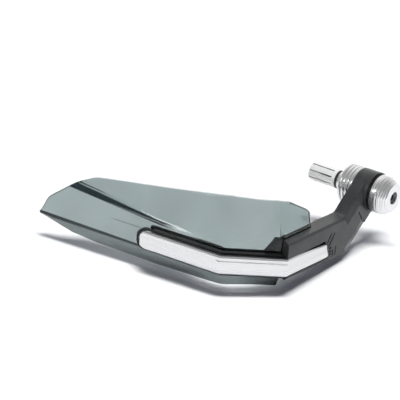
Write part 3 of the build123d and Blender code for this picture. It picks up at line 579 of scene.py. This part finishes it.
# Stage: pale floor that stays white to the camera and keeps the guard's shadow. The guard leans forward
# a little over it, so the floor rises towards the bar end.
floor_z, floor_y, rise_x, rise_y, floor_half = -0.0626, -0.13, 0.02, 0.072, 6.0
glow_centre, glow_from, glow_full = (-0.05, -0.16, -0.06), 0.14, 1.4
floor_plan = np.array([(-1, -1), (1, -1), (1, 1), (-1, 1)]) * floor_half
floor_rise = floor_z + rise_x * floor_plan[:, 0] + rise_y * (floor_plan[:, 1] - floor_y)
floor_mesh = bpy.data.meshes.new("floor")
floor_mesh.from_pydata(np.column_stack([floor_plan, floor_rise]).tolist(), [], [(0, 1, 2, 3)])
floor = bpy.data.objects.new("floor", floor_mesh)
scene.collection.objects.link(floor)
pale, shader, node, join = new_material("pale_floor")
rays = node("ShaderNodeLightPath").outputs
seen = maths(node, "MAXIMUM", rays["Is Camera Ray"], rays["Is Transmission Ray"])
seen = maths(node, "MAXIMUM", seen, rays["Is Glossy Ray"])
place = node("ShaderNodeTexCoord").outputs["Object"]
out_from = node("ShaderNodeVectorMath", {0: place, 1: glow_centre}, operation="DISTANCE").outputs["Value"]
glow = maths(node, "MULTIPLY", seen, mapped(node, out_from, glow_from, glow_full))
shader.inputs["Base Color"].default_value = (0.94, 0.94, 0.94, 1.0)
shader.inputs["Roughness"].default_value = 1.0
shader.inputs["Specular IOR Level"].default_value = 0.0
shader.inputs["Emission Color"].default_value = (1.0, 1.0, 1.0, 1.0)
join(glow, shader.inputs["Emission Strength"])
dress(floor, pale)

# Light: a soft lamp overhead, out in front of the guard and turned along its shield, a narrow softbox to
# the left of the camera, and a white room. The room gives little diffuse light, and reflections see it
# dimmer on the camera's side.
overhead_place, overhead_turn = (0.278, -0.581, 2.2), math.radians(90.0 - turn_1 - turn_2 / 2)
softbox_place, softbox_aim = Vector((-0.481, -1.095, 0.606)), Vector((-0.048, -0.169, -0.02))
room_back, room_white, room_cool = (-0.607, 0.794, 0.0), (1.0, 1.0, 1.0, 1.0), (0.5, 0.64, 1.0, 1.0)


def add_lamp(name, place, turn, wide, tall, watts):
    """Rectangular area lamp, which shines straight down with its tall side along y before its turn."""
    lamp = bpy.data.lights.new(name, "AREA")
    lamp.shape = "RECTANGLE"
    lamp.size, lamp.size_y, lamp.energy = wide, tall, watts
    made = bpy.data.objects.new(name, lamp)
    made.location, made.rotation_euler = place, turn
    scene.collection.objects.link(made)
    return made


overhead = add_lamp("overhead", overhead_place, (0.0, 0.0, overhead_turn), 1.1, 0.5, 62.0)
overhead.visible_glossy = False
softbox_turn = (softbox_place - softbox_aim).to_track_quat("Z", "Y").to_euler()
add_lamp("softbox", softbox_place, softbox_turn, 0.06, 0.36, 0.8)
world = bpy.data.worlds.new("white_room")
world.use_nodes = True
scene.world = world
node, join = node_maker(world.node_tree), world.node_tree.links.new
rays = node("ShaderNodeLightPath").outputs
facing = node("ShaderNodeTexCoord").outputs["Generated"]
toward = node("ShaderNodeVectorMath", {0: facing, 1: room_back}, operation="DOT_PRODUCT").outputs["Value"]
dimming = mapped(node, toward, 0.05, 0.6, -0.6, 0.0)
ambient = maths(node, "MULTIPLY_ADD", rays["Is Diffuse Ray"], -0.92, 1.0)
strength = maths(node, "MULTIPLY_ADD", rays["Is Glossy Ray"], dimming, ambient)
tones = {"Factor": rays["Is Diffuse Ray"], "A": room_white, "B": room_cool}
room = world.node_tree.nodes["Background"]
join(strength, room.inputs["Strength"])
join(node("ShaderNodeMix", tones, data_type="RGBA").outputs["Result"], room.inputs["Color"])

# Camera: at the photograph's viewing angle. Its turn, tilt, roll, distance and lens come from a fit to
# corners of the guard.
azimuth, elevation, roll = math.radians(37.397), math.radians(22.506), math.radians(4.839)
aim, distance = Vector((-94.884, -97.723, -19.125)) * mm, 1.126805
focal_px, photo_px, sensor_mm = 1281.04, 400, 36.0
away = Vector((math.sin(azimuth) * math.cos(elevation),
               -math.cos(azimuth) * math.cos(elevation), math.sin(elevation)))
level = Vector((math.cos(azimuth), math.sin(azimuth), 0))
rise = away.cross(level)
side = level * math.cos(roll) + rise * math.sin(roll)
over = rise * math.cos(roll) - level * math.sin(roll)
turned = Matrix((side, over, away)).transposed().to_4x4()
camera = bpy.data.objects.new("camera", bpy.data.cameras.new("camera"))
camera.data.sensor_width = sensor_mm
camera.data.lens = focal_px / photo_px * sensor_mm
camera.data.clip_end = 20.0
camera.matrix_world = Matrix.Translation(aim + away * distance) @ turned
scene.collection.objects.link(camera)
scene.camera = camera

scene.view_settings.view_transform = "Standard"
